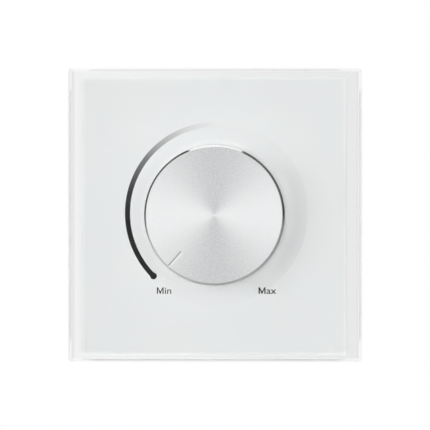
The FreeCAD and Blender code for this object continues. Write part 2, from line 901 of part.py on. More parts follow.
def rear_housing():
    """Moulded box with corner bosses, vents, wire entries and holes for a screwdriver."""
    box = block(housing_size, housing_size, 0, housing_back, housing_corner)
    box = box.makeChamfer(housing_edge_chamfer, edges_at(box, housing_back))
    inner = 2 * housing_inside
    cavity = block(inner, inner, 0, housing_floor, max(housing_corner - housing_wall, least_corner))
    shell = box.cut(cavity)
    bosses = []
    for x, z in corner_places():
        bosses.append(rod(boss_diameter, 0, housing_floor, x, z))
        bosses.append(rod(boss_shoulder_diameter, board_back, housing_floor, x, z))
    bosses = [boss.common(box) for boss in bosses]
    shell = fused([shell] + bosses)
    pilot_end = support_face + housing_screw_length + pilot_spare
    for x, z in corner_places():
        shell = shell.cut(rod(housing_screw_diameter + 2 * pilot_gap, 0, pilot_end, x, z))
    entry_y = clamp_base() + clamp_wall + wire_window_height / 2
    for x in terminal_places():
        shell = shell.cut(rod(driver_hole_diameter, housing_floor, housing_back, x, terminal_z()))
        entry = Part.makeBox(wire_entry_width, wire_entry_height, housing_wall)
        base = Vector(x - wire_entry_width / 2, entry_y - wire_entry_height / 2, -housing_size / 2)
        entry.translate(base)
        shell = shell.cut(entry)
    return cut_vents(shell)


def cut_vents(shell):
    """Rows of slots in the top and in both sides."""
    for number in range(vent_count):
        along = (number - (vent_count - 1) / 2) * vent_pitch
        for sx, sz in ((0, 1), (-1, 0), (1, 0)):
            x = sx * (housing_size - housing_wall) / 2 or along
            z = sz * (housing_size - housing_wall) / 2 or along
            width = vent_width if sz else housing_wall
            height = housing_wall if sz else vent_width
            shell = shell.cut(block(width, height, vent_start, vent_start + vent_length, x=x, z=z))
    return shell


def circuit_board(leads):
    """Board that rests on the boss shoulders, notched round the bosses and drilled for every lead."""
    size = 2 * (housing_inside - board_clearance)
    board = block(size, size, board_face, board_back)
    for x, z in corner_places():
        board = board.cut(rod(boss_diameter + 2 * board_clearance, board_face, board_back, x, z))
    for x, z, width in leads:
        board = board.cut(rod(width + 2 * lead_hole_gap, board_face, board_back, x, z))
    return board


# Terminals


def terminal_block():
    """Moulded block with a chamber for each clamp, open below for the wire and behind for the driver."""
    z = terminal_z()
    body = block(terminal_width, terminal_length, board_back, terminal_back, z=z)
    body = body.makeChamfer(terminal_chamfer, edges_at(body, terminal_back))
    low = clamp_base() - clamp_gap
    high = clamp_base() + clamp_height + clamp_gap
    mouth = z - terminal_length / 2
    inside = z + clamp_length / 2 + clamp_gap
    for x in terminal_places():
        body = body.cut(block(terminal_chamber, inside - mouth, low, high, x=x, z=(mouth + inside) / 2))
        body = body.cut(rod(terminal_screw_hole_diameter, high, terminal_back, x, z))
        body = body.cut(rod(terminal_pin_diameter + 2 * touch_gap, board_back, low, x, z))
    return body


def terminal_clamps():
    """Brass cages with a window for the wire, each with a solder pin."""
    base = clamp_base()
    top = base + clamp_height
    width = terminal_chamber - 2 * clamp_gap
    z = terminal_z()
    clamps = []
    for x in terminal_places():
        cage = block(width, clamp_length, base, top, x=x, z=z)
        window = block(width - 2 * clamp_wall, clamp_length, base + clamp_wall, top - clamp_top, x=x, z=z)
        cage = cage.cut(window)
        cage = cage.cut(rod(terminal_screw_diameter + 2 * touch_gap, top - clamp_top, top, x, z))
        pin_front = board_face - lead_proud
        clamps.append(fused([cage, rod(terminal_pin_diameter, pin_front, base, x, z)]))
    return clamps


def terminal_screws():
    """Slotted clamp screws, seen through the holes in the back of the housing."""
    top = clamp_base() + clamp_height
    tip = top - clamp_top - terminal_screw_entry
    head_front = top + clamp_gap
    head_back = head_front + terminal_screw_head_height
    slot_front = head_back - screw_slot_depth
    z = terminal_z()
    screws = []
    for x in terminal_places():
        head = rod(terminal_screw_head_diameter, head_front, head_back, x, z)
        slot = block(terminal_screw_head_diameter, screw_slot_width, slot_front, head_back, x=x, z=z)
        shank = rod(terminal_screw_diameter, tip, head_front, x, z)
        screws.append(fused([head.cut(slot), shank]))
    return screws


# Power components


def lead(x, z, front, width=component_lead):
    """A wire lead from a component's back through the board."""
    return rod(width, front, lead_end, x, z)


def choke_core():
    """Ring core that stands off the board by the thickness of its winding."""
    back = board_face - choke_wire
    return tube(choke_outer_diameter, choke_inner_diameter, back - choke_height, back, x=choke_x)


def choke_winding():
    """Turns of enamelled wire round the core; the first and the last run into the board."""
    back = board_face - choke_wire
    front = back - choke_height
    wire = choke_wire
    inner = choke_inner_diameter / 2
    outer = choke_outer_diameter / 2
    slack = touch_gap
    loop = Part.makeBox(outer - inner + 2 * wire, choke_height + 2 * wire, wire)
    loop.translate(Vector(inner - wire, front - wire, -wire / 2))
    hole = Part.makeBox(outer - inner + 2 * slack, choke_height + 2 * slack, wire)
    hole.translate(Vector(inner - slack, front - slack, -wire / 2))
    turn = loop.cut(hole)
    pin = lead(outer + wire / 2, 0, back, wire)
    turns = []
    for number in range(choke_turns):
        ends_here = number in (0, choke_turns - 1)
        piece = fused([turn, pin]) if ends_here else turn
        piece = turned_copy(piece, (number - (choke_turns - 1) / 2) * choke_turn_angle)
        piece.translate(Vector(choke_x, 0, 0))
        turns.append(piece)
    return turns


def choke_leads():
    """Where the winding's two ends enter the board."""
    reach = choke_outer_diameter / 2 + choke_wire / 2
    angle = (choke_turns - 1) / 2 * choke_turn_angle
    ends = [point(reach, side * angle, 0, choke_x) for side in (-1, 1)]
    return [(end.x, end.z, choke_wire) for end in ends]


def film_capacitor_leads():
    half = film_capacitor_lead_spacing / 2
    return [(film_capacitor_x, film_capacitor_z + side * half, component_lead) for side in (-1, 1)]


def film_capacitor():
    """Boxed suppression capacitor, flat on the board."""
    front = board_face - film_capacitor_height
    size = (film_capacitor_width, film_capacitor_length)
    case = block(*size, front, board_face, film_capacitor_corner, film_capacitor_x, film_capacitor_z)
    case = case.makeFillet(film_capacitor_edge, edges_at(case, front))
    return fused([case] + [lead(x, z, board_face) for x, z, _ in film_capacitor_leads()])


def fuse_axis_y():
    return board_face - fuse_above_board - fuse_cap_diameter / 2


def fuse_link():
    """Cartridge fuse with a metal cap at each end, held in two clips."""
    low = -fuse_length / 2
    pieces = [Part.makeCylinder(fuse_diameter / 2, fuse_length, Vector(fuse_x, fuse_axis_y(), low), UP)]
    for z in (low, -low - fuse_cap_length):
        base = Vector(fuse_x, fuse_axis_y(), z)
        pieces.append(Part.makeCylinder(fuse_cap_diameter / 2, fuse_cap_length, base, UP))
    return fused(pieces)


def fuse_clip_places():
    reach = (fuse_length - fuse_cap_length) / 2
    return [-reach, reach]


def fuse_clips():
    """Two sprung clips that grip the fuse's caps, each with a leg through the board."""
    inner = fuse_cap_diameter / 2 + touch_gap
    outer = fuse_clip_reach
    clips = []
    for z in fuse_clip_places():
        base = Vector(fuse_x, fuse_axis_y(), z - fuse_clip_width / 2)
        ring = Part.makeCylinder(outer, fuse_clip_width, base, UP)
        opening_base = base - Vector(fuse_clip_mouth / 2, outer, 0)
        opening = Part.makeBox(fuse_clip_mouth, outer, fuse_clip_width, opening_base)
        foot = block(fuse_clip_width, fuse_clip_width, fuse_axis_y() + inner, board_face, x=fuse_x, z=z)
        clip = fused([ring, foot, lead(fuse_x, z, board_face)])
        clip = clip.cut(Part.makeCylinder(inner, fuse_clip_width, base, UP))
        clips.append(clip.cut(opening))
    return clips


def triac_middle_y():
    """The depth of the triac's fixing hole."""
    return board_face - triac_above_board - triac_height + triac_hole_depth


def heat_sink():
    """Finned aluminium bar that stands on the board, tapped for the triac's screw."""
    front = board_face - sink_depth
    base_z = sink_base_z + sink_base / 2
    pieces = [block(sink_width, sink_base, front, board_face, z=base_z)]
    fin_z = sink_base_z + sink_base + sink_fin_height / 2
    step = (sink_width - sink_fin_thickness) / (sink_fin_count - 1)
    for number in range(sink_fin_count):
        x = number * step - (sink_width - sink_fin_thickness) / 2
        pieces.append(block(sink_fin_thickness, sink_fin_height, front, board_face, x=x, z=fin_z))
    sink = fused(pieces)
    low = Vector(0, triac_middle_y(), sink_base_z)
    return sink.cut(Part.makeCylinder(triac_screw_diameter / 2 + pilot_gap, sink_base, low, UP))


def triac_leads():
    z = sink_base_z - triac_thickness / 2
    return [(triac_lead_pitch * number, z, component_lead) for number in (-1, 0, 1)]


def triac():
    """Power switch, flat against the heat sink, with three leads into the board."""
    back = board_face - triac_above_board
    z = sink_base_z - triac_thickness / 2
    body = block(triac_width, triac_thickness, back - triac_height, back, z=z)
    low = Vector(0, triac_middle_y(), sink_base_z - triac_thickness)
    radius = triac_screw_diameter / 2 + triac_hole_gap
    body = body.cut(Part.makeCylinder(radius, triac_thickness, low, UP))
    return fused([body] + [lead(x, lead_z, back) for x, lead_z, _ in triac_leads()])


def triac_screw():
    """Screw that holds the triac to the heat sink."""
    under_head = sink_base_z - triac_thickness
    axis_y = triac_middle_y()
    length = triac_thickness + sink_base
    shank = Part.makeCylinder(triac_screw_diameter / 2, length, Vector(0, axis_y, under_head), UP)
    head_base = Vector(0, axis_y, under_head - triac_screw_head_height)
    head = Part.makeCylinder(triac_screw_head_diameter / 2, triac_screw_head_height, head_base, UP)
    slot_corner = head_base - Vector(triac_screw_head_diameter / 2, screw_slot_width / 2, 0)
    slot = Part.makeBox(triac_screw_head_diameter, screw_slot_width, screw_slot_depth, slot_corner)
    return fused([shank, head]).cut(slot)


def varistor_leads():
    half = varistor_lead_spacing / 2
    return [(varistor_x + side * half, varistor_z, component_lead) for side in (-1, 1)]


def varistor():
    """Coated surge-absorber disc, standing on two leads."""
    middle_y = board_face - varistor_above_board - varistor_diameter / 2
    base = Vector(varistor_x, middle_y, varistor_z - varistor_thickness / 2)
    disc = Part.makeCylinder(varistor_diameter / 2, varistor_thickness, base, UP)
    disc = disc.makeFillet(varistor_edge, disc.Edges)
    return fused([disc] + [lead(x, z, middle_y) for x, z, _ in varistor_leads()])


def small_capacitor_leads():
    half = small_capacitor_lead_spacing / 2
    return [(x + side * half, z, component_lead) for x, z in small_capacitor_places for side in (-1, 1)]


def small_capacitors():
    """Two round can capacitors with a rolled groove near the board."""
    front = board_face - small_capacitor_height
    groove_back = board_face - small_capacitor_groove_from_board
    groove_front = groove_back - small_capacitor_groove_width
    core = small_capacitor_diameter - 2 * small_capacitor_groove_depth
    half = small_capacitor_lead_spacing / 2
    cans = []
    for x, z in small_capacitor_places:
        can = rod(small_capacitor_diameter, front, board_face, x, z)
        can = can.makeFillet(small_capacitor_edge, edges_at(can, front))
        can = can.cut(tube(small_capacitor_diameter, core, groove_front, groove_back, x, z))
        cans.append(fused([can] + [lead(x + side * half, z, board_face) for side in (-1, 1)]))
    return cans


def resistor_leads():
    places = []
    for number in range(resistor_count):
        for side in (-1, 1):
            x = resistor_x + side * resistor_lead_span / 2
            places.append((x, resistor_z - number * resistor_pitch, component_lead))
    return places


def resistors():
    """Axial resistors side by side, their leads bent down into the board."""
    axis_y = board_face - resistor_above_board - resistor_diameter / 2
    half = resistor_lead_span / 2
    made = []
    for number in range(resistor_count):
        z = resistor_z - number * resistor_pitch
        along = Vector(1, 0, 0)
        start = Vector(resistor_x - resistor_length / 2, axis_y, z)
        barrel = Part.makeCylinder(resistor_diameter / 2, resistor_length, start, along)
        barrel = barrel.makeFillet(resistor_edge, barrel.Edges)
        left = Vector(resistor_x - half, axis_y, z)
        wire = Part.makeCylinder(component_lead / 2, 2 * half, left, along)
        ends = [lead(resistor_x + side * half, z, axis_y) for side in (-1, 1)]
        knees = [Part.makeSphere(component_lead / 2, left + along * offset) for offset in (0, 2 * half)]
        made.append(fused([barrel, wire] + ends + knees))
    return made


def board_leads():
    """Every lead that the board is drilled for: (x, z, diameter)."""
    leads = [(x, lug_row_z, math.hypot(lug_width, lug_thickness)) for x in lug_places()]
    leads += [(side * contact_pin_offset, 0, contact_pin_diameter) for side in (-1, 1)]
    leads += [(x, terminal_z(), terminal_pin_diameter) for x in terminal_places()]
    leads += [(fuse_x, z, component_lead) for z in fuse_clip_places()]
    groups = (choke_leads, film_capacitor_leads, triac_leads, varistor_leads)
    for places in groups + (small_capacitor_leads, resistor_leads):
        leads += places()
    return leads


def build():
    os.makedirs("parts", exist_ok=True)

    save("glass_panel", glass_panel())
    save("backing_film", backing_film())
    save("scale_band", scale_band())
    save("front_frame", front_frame())

    save("knob_cap", knob_cap())
    save("knob_insert", knob_insert())
    save("hub_clip", hub_clip())
    save("spindle", spindle())
    save("spindle_circlip", spindle_circlip())

    lock_nut_back = support_face - lock_washer_thickness
    save("spindle_bush", spindle_bush())
    save("front_nut", nut(nut_face, washer_face))
    save("front_washer", front_washer())
    save("lock_nut", nut(lock_nut_back - lock_nut_thickness, lock_nut_back))
    save("lock_washer", lock_washer())
    save("support_plate", support_plate())
    save("housing_screws", *[housing_screw(x, z) for x, z in corner_places()])

    save("pot_case", pot_case())
    save("resistance_track", resistance_track())
    save("pot_lugs", *pot_lugs())
    save("pot_rotor", pot_rotor())
    save("pot_wiper", pot_wiper())

    save("switch_case", switch_case())
    save("switch_plunger", switch_plunger())
    save("contact_ring", contact_ring())
    save("contact_pins", *contact_pins())
    save("return_spring", return_spring())

    save("rear_housing", rear_housing())
    save("circuit_board", circuit_board(board_leads()))
    save("terminal_block", terminal_block())
    save("terminal_clamps", *terminal_clamps())
    save("terminal_screws", *terminal_screws())

    save("choke_core", choke_core())
    save("choke_winding", *choke_winding())
    save("film_capacitor", film_capacitor())
    save("fuse_link", fuse_link())
    save("fuse_clips", *fuse_clips())
    save("heat_sink", heat_sink())
    save("triac", triac())
    save("triac_screw", triac_screw())
    save("varistor", varistor())
    save("small_capacitors", *small_capacitors())
    save("resistors", *resistors())


build()
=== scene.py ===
"""Looks of the rotary dimmer switch: finishes for every piece, the printed words, studio and camera."""

import math

import bpy
from mathutils import Matrix, Vector


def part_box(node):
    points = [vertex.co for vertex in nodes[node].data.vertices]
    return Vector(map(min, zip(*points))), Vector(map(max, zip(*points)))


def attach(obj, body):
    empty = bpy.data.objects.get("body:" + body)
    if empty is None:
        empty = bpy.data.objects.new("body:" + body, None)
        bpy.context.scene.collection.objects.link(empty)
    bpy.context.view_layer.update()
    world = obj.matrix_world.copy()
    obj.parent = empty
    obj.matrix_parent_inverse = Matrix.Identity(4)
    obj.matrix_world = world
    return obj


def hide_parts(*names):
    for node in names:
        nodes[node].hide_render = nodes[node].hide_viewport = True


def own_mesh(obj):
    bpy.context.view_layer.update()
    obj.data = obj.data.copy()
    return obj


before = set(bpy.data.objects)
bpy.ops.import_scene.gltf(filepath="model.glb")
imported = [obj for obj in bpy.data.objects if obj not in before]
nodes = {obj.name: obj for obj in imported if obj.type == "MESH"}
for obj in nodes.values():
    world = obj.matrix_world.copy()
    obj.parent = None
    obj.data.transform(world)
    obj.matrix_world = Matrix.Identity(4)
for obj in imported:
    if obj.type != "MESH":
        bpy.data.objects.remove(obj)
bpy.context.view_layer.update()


# The frame, the floor and the camera are in metres, and other sizes and places are in millimetres.
MM = 0.001
knob_low, knob_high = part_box("knob_cap")
film_low, film_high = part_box("backing_film")
glass_low, glass_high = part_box("glass_panel")
scale_centre = (0.35, 0.53)
scale_start = 225.0
scale_rim = 26.85
knob_face = knob_low.y / MM
knob_rim = knob_high.x / MM
knob_bevel = 0.6
pointer_angle = math.radians(228.5)
pointer_root = -0.12
# Shift of the knob's rim circle; it paints a dark line on the right of the face and moves the edge of
# the bright cut on the bevel.
painted_rim_shift = 0.14
word_depth = 0.02
word_gap = 0.005
drawn_size = 3.0
full_turn = 360


class Signal:
    """One output of a shader node; arithmetic on it adds Math nodes to the same tree."""

    def __init__(self, bench, node, output=0):
        self.bench = bench
        self.node = node
        self.socket = node.outputs[output]

    def __getitem__(self, output):
        return Signal(self.bench, self.node, output)

    def math(self, operation, *others):
        values = dict(enumerate((self, *others)))
        return self.bench.add("ShaderNodeMath", {"operation": operation}, values)

    def __add__(self, other):
        return self.math("ADD", other)

    __radd__ = __add__

    def __sub__(self, other):
        return self.math("SUBTRACT", other)

    def __rsub__(self, other):
        return self.bench.add("ShaderNodeMath", {"operation": "SUBTRACT"}, {0: other, 1: self})

    def __mul__(self, other):
        return self.math("MULTIPLY", other)

    __rmul__ = __mul__

    def __truediv__(self, other):
        return self.math("DIVIDE", other)

    def __pow__(self, other):
        return self.math("POWER", other)

    def __neg__(self):
        return self.math("MULTIPLY", -1)

    def either(self, other):
        """The stronger of two masks."""
        return self.math("MAXIMUM", other)

    def degrees_from(self, other):
        """The angle, in degrees, of a line that rises by this signal while it runs by the other."""
        return self.math("ARCTAN2", other) * (full_turn / 2 / math.pi)

    def over(self, low, high):
        """0 below low, 1 above high, smooth between; with low above high it falls instead."""
        limits = {"Value": self, "From Min": low, "From Max": high}
        return self.bench.add("ShaderNodeMapRange", {"interpolation_type": "SMOOTHSTEP"}, limits)

    def spread(self, low, high):
        """A signal that runs from 0 to 1, taken to run from low to high."""
        return self * (high - low) + low


def reach(across, up):
    """The distance from the middle, from a way across and a way up."""
    return (across * across + up * up).math("SQRT")


class Bench:
    """A node tree, with one method that adds any node: settings first, then values or links."""

    def __init__(self, tree):
        self.tree = tree
        tree.nodes.clear()

    def add(self, kind, settings=None, inputs=None):
        node = self.tree.nodes.new(kind)
        for name, value in (settings or {}).items():
            if name == "stops":
                self.set_stops(node.color_ramp, value)
            else:
                setattr(node, name, value)
        for name, value in (inputs or {}).items():
            if isinstance(value, Signal):
                self.tree.links.new(value.socket, node.inputs[name])
            else:
                node.inputs[name].default_value = value
        return Signal(self, node) if node.outputs else node

    def set_stops(self, ramp, stops):
        """Stops of a grey ramp, each a place and a level."""
        while len(ramp.elements) > 1:
            ramp.elements.remove(ramp.elements[-1])
        for number, (place, level) in enumerate(stops):
            stop = ramp.elements[0] if number == 0 else ramp.elements.new(place)
            stop.position = place
            stop.color = grey(level)

    def place(self):
        """The piece's own coordinates in millimetres."""
        where = self.add("ShaderNodeTexCoord")["Object"]
        return self.add("ShaderNodeVectorMath", {"operation": "SCALE"}, {0: where, "Scale": 1 / MM})

    def axes(self, place):
        apart = self.add("ShaderNodeSeparateXYZ", None, {0: place})
        return apart["X"], apart["Y"], apart["Z"]

    def stretched(self, place, stretch):
        return self.add("ShaderNodeVectorMath", {"operation": "MULTIPLY"}, {0: place, 1: stretch})

    def joined(self, x, y, z):
        return self.add("ShaderNodeCombineXYZ", None, {0: x, 1: y, 2: z})

    def grain(self, place, size, detail=3.0, rough=0.55):
        """Noise from 0 to 1 whose blotches are about size millimetres wide."""
        return self.add("ShaderNodeTexNoise", None, {
            "Vector": place, "Scale": 1 / size, "Detail": detail, "Roughness": rough})["Fac"]

    def colours(self, mask, first, second):
        """The first colour where mask is 0, the second where it is 1."""
        made = self.add("ShaderNodeMix", {"data_type": "RGBA"}, {0: mask, 6: first, 7: second})
        return made[2]

    def bump(self, height, depth, under=None):
        """A normal from a height signal whose full swing is depth millimetres."""
        inputs = {"Height": height, "Distance": depth * MM, "Strength": 1.0}
        if under is not None:
            inputs["Normal"] = under
        return self.add("ShaderNodeBump", None, inputs)

    def surface(self, inputs):
        return self.add("ShaderNodeBsdfPrincipled", None, inputs)

    def finish(self, shader):
        self.add("ShaderNodeOutputMaterial", None, {"Surface": shader})


finishes = {}


def finish_for(slot):
    material = bpy.data.materials.get(slot) or bpy.data.materials.new(slot)
    material.use_nodes = True
    finishes[slot] = material
    return Bench(material.node_tree)


def grey(level):
    return (level, level, level, 1)


def shade(colour, factor):
    """The colour made darker or lighter by a factor."""
    return (*(min(1, part * factor) for part in colour), 1)


# Plastics and coatings


def moulded(slot, colour, roughness=0.4, grain_size=0.35, grain_depth=0.006, coat=0.0, flow=0.04):
    """Injection moulding: eroded texture, faint flow marks and a little unevenness in the gloss."""
    bench = finish_for(slot)
    place = bench.place()
    fine = bench.grain(place, grain_size, 4)
    marks = bench.grain(bench.stretched(place, (0.5, 1.4, 0.7)), 9.0, 2)
    tint = bench.colours(marks.over(0.3, 0.7), shade(colour, 1 - flow), shade(colour, 1 + flow / 2))
    speck = bench.colours(fine.over(0.35, 0.75) * 0.25, tint, shade(colour, 1 - 2 * flow))
    bench.finish(bench.surface({
        "Base Color": speck,
        "Roughness": fine.spread(roughness - 0.07, roughness + 0.07) + marks.spread(-0.04, 0.04),
        "Coat Weight": coat,
        "Normal": bench.bump(fine, grain_depth),
    }))


def ceramic_fuse():
    """Glazed tube with a nickelled cap at each end."""
    low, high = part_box("fuse_link")
    cap_length = 4.95
    edge = 0.1
    low_cap = low.z / MM + cap_length
    high_cap = high.z / MM - cap_length
    bench = finish_for("fuse_ceramic")
    place = bench.place()
    z = bench.axes(place)[2]
    caps = z.over(low_cap, low_cap - edge).either(z.over(high_cap, high_cap + edge))
    scuffs = bench.grain(bench.stretched(place, (1, 1, 6)), 1.2, 3)
    glaze = bench.colours(bench.grain(place, 2.5, 2), (0.86, 0.85, 0.8, 1), (0.8, 0.79, 0.74, 1))
    nickel = bench.colours(scuffs, (0.72, 0.7, 0.66, 1), (0.6, 0.59, 0.56, 1))
    bench.finish(bench.surface({
        "Base Color": bench.colours(caps, glaze, nickel),
        "Metallic": caps,
        "Roughness": caps * -0.08 + scuffs.spread(0.28, 0.42),
        "Normal": bench.bump(scuffs, 0.004),
    }))


def track_laminate():
    """Brown laminate with a matt carbon horseshoe printed proud of it."""
    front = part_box("resistance_track")[0].y / MM
    bench = finish_for("track_board")
    place = bench.place()
    y = bench.axes(place)[1]
    carbon = y.over(front + 0.09, front + 0.05)
    fibres = bench.grain(bench.stretched(place, (0.4, 1, 3)), 0.5, 4)
    laminate = bench.colours(fibres, (0.3, 0.17, 0.08, 1), (0.4, 0.25, 0.13, 1))
    soot = bench.colours(bench.grain(place, 0.3), grey(0.018), grey(0.04))
    bench.finish(bench.surface({
        "Base Color": bench.colours(carbon, laminate, soot),
        "Roughness": carbon * 0.15 + fibres.spread(0.42, 0.55),
        "Normal": bench.bump(fibres, 0.01),
    }))


def printed_board():
    """Solder resist, with copper areas and the weave of the laminate showing faintly under it."""
    threads = 2.2
    track_density = 0.14
    bench = finish_for("board_green")
    place = bench.place()
    x, _, z = bench.axes(place)
    weave = ((x * threads).math("SINE") * (z * threads).math("SINE")).spread(0.5, 1.0)
    runs = bench.add("ShaderNodeTexVoronoi", {"distance": "CHEBYCHEV", "feature": "F1"}, {
        "Vector": bench.stretched(place, (track_density, 0.001, track_density)),
        "Scale": 1.0,
        "Randomness": 0.8,
    })
    track = runs["Distance"].over(0.52, 0.42)
    resist = bench.colours(track, (0.035, 0.15, 0.06, 1), (0.06, 0.24, 0.1, 1))
    bench.finish(bench.surface({
        "Base Color": bench.colours(weave * 0.2, resist, (0.03, 0.1, 0.05, 1)),
        "Roughness": weave * 0.1 + bench.grain(place, 4).spread(0.2, 0.34),
        "Coat Weight": 0.4,
        "Coat Roughness": 0.12,
        "Normal": bench.bump(track, 0.035, bench.bump(weave, 0.006)),
    }))


def resistor_lacquer():
    """Tan lacquer with four colour bands across each body, and tinned leads."""
    low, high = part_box("resistors")
    middle = (low.x + high.x) / 2 / MM
    band_half = 0.33
    body_half = 3.2
    bands = (
        (-2.1, (0.32, 0.03, 0.02, 1)),
        (-1.0, (0.03, 0.05, 0.3, 1)),
        (0.0, (0.55, 0.2, 0.02, 1)),
        (2.0, (0.6, 0.42, 0.12, 1)),
    )
    bench = finish_for("resistor_tan")
    place = bench.place()
    along = bench.axes(place)[0] - middle
    uneven = bench.grain(place, 1.1, 3)
    colour = bench.colours(uneven, (0.62, 0.47, 0.28, 1), (0.72, 0.58, 0.37, 1))
    for centre, paint in bands:
        off = (along - centre).math("ABSOLUTE")
        colour = bench.colours(off.over(band_half + 0.03, band_half - 0.03), colour, paint)
    wire = along.math("ABSOLUTE").over(body_half - 0.05, body_half + 0.05)
    tin = bench.colours(uneven, grey(0.62), grey(0.72))
    bench.finish(bench.surface({
        "Base Color": bench.colours(wire, colour, tin),
        "Metallic": wire,
        "Roughness": uneven.spread(0.24, 0.4),
        "Normal": bench.bump(uneven, 0.02),
    }))


def capacitor_sleeve():
    """Shrunk dark sleeve, the bare aluminium end of the can and the tinned leads."""
    low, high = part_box("small_capacitors")
    front = low.y / MM
    leads = high.y / MM - 2.6
    bench = finish_for("can_black")
    place = bench.place()
    y = bench.axes(place)[1]
    bare = y.over(front + 0.25, front + 0.15)
    lead = y.over(leads - 0.1, leads + 0.1)
    metal = bare.either(lead)
    wrinkles = bench.grain(bench.stretched(place, (1, 0.3, 1)), 0.7, 3)
    sleeve = bench.colours(wrinkles, (0.012, 0.014, 0.02, 1), (0.03, 0.033, 0.045, 1))
    tin = bench.colours(wrinkles, grey(0.6), grey(0.75))
    bench.finish(bench.surface({
        "Base Color": bench.colours(metal, sleeve, tin),
        "Metallic": metal,
        "Roughness": wrinkles.spread(0.25, 0.42),
        "Normal": bench.bump(wrinkles, 0.02),
    }))


def scale_ink():
    """Screen-printed scale: dark at its dot, fading round to the high end."""
    bench = finish_for("scale_print")
    place = bench.place()
    x, _, z = bench.axes(place)
    turn = (z - scale_centre[1]).degrees_from(x - scale_centre[0])
    turn = turn + turn.over(-89.5, -90.5) * full_turn
    travel = (scale_start - turn) / full_turn
    stops = [
        (0.0, 0.014), (0.035, 0.008), (0.095, 0.008), (0.125, 0.013), (0.165, 0.049),
        (0.2, 0.11), (0.23, 0.2), (0.255, 0.358), (0.28, 0.466), (0.305, 0.6),
        (0.33, 0.715), (0.375, 0.825), (0.45, 0.83), (0.57, 0.79), (1.0, 0.78),
    ]
    fade = bench.add("ShaderNodeValToRGB", {"stops": stops}, {"Fac": travel})
    screen = bench.grain(place, 0.12, 2)
    bench.finish(bench.surface({
        "Base Color": bench.colours(screen.over(0.3, 0.7) * 0.03, fade, grey(0.3)),
        "Roughness": screen.spread(0.4, 0.55),
        "Specular IOR Level": 0.1,
        "Normal": bench.bump(screen, 0.003),
    }))


def word_ink():
    """The same ink, dark all over, for the words."""
    bench = finish_for("scale_words")
    place = bench.place()
    screen = bench.grain(place, 0.12, 2)
    bench.finish(bench.surface({
        "Base Color": bench.colours(screen, (0.012, 0.012, 0.013, 1), (0.022, 0.021, 0.023, 1)),
        "Roughness": screen.spread(0.4, 0.55),
        "Specular IOR Level": 0.1,
    }))


def film_white():
    """White paint film behind the glass. Painted light makes it paler near three edges and next to the
    knob, most on the side where the knob's shadow falls.
    It is greyer all over inside the scale's outer edge, with a painted shadow of the knob to its right
    that is strongest inside that edge and fades past it, and painted shade along the bottom edge."""
    left, low = film_low.x / MM, film_low.z / MM
    right, high = film_high.x / MM, film_high.z / MM
    painted_shadow_angle = math.radians(-10)
    bench = finish_for("white_film")
    place = bench.place()
    peel = bench.grain(place, 1.4, 2)
    wide = bench.grain(place, 26, 1)
    x, _, z = bench.axes(place)
    paint = bench.colours(wide.over(0.3, 0.7), (0.82, 0.83, 0.835, 1), (0.835, 0.84, 0.84, 1))
    # Painted light: the film is made paler along its left, top and right edges.
    edges = x.over(left + 1.6, left - 0.3).either(z.over(high - 1.2, high + 0.1))
    edges = edges.either(x.over(right - 1.4, right + 0.1))
    paint = bench.colours(edges, paint, (0.89, 0.895, 0.895, 1))
    radius = reach(x, z)
    inside = reach(x - scale_centre[0], z - scale_centre[1]).over(scale_rim + 0.05, scale_rim - 0.05)
    # beside weighs the side where the knob's shadow falls: to the right and a little down.
    beside = (x * math.cos(painted_shadow_angle) + z * math.sin(painted_shadow_angle)) / radius
    beside = beside.over(0.35, 0.85)
    # Greyer all over inside the scale's outer edge; on the shadow side a painted shadow of the knob,
    # strongest inside that edge and fading out past it.
    grey_and_painted_shadow = inside * (0.23 + beside * 0.35) + (1 - inside) * beside * radius.over(36, 27) * 0.2
    paint = bench.colours(grey_and_painted_shadow, paint, (0.74, 0.745, 0.745, 1))
    # Painted light: the film is paler next to the knob, and reaches further out on the side where its
    # shadow falls.
    painted_light_near_knob = radius.over(23, 20.6)
    painted_light_near_knob = painted_light_near_knob + (radius.over(25, 20.6) - painted_light_near_knob) * beside
    paint = bench.colours(painted_light_near_knob, paint, (0.93, 0.935, 0.935, 1))
    # Painted shade: the film is darker along its bottom edge.
    foot = z.over(low + 0.5, low + 0.2)
    paint = bench.colours(foot, paint, (0.75, 0.755, 0.755, 1))
    bench.finish(bench.surface({
        "Base Color": paint,
        "Roughness": peel.spread(0.34, 0.42),
        "Normal": bench.bump(peel, 0.004),
    }))


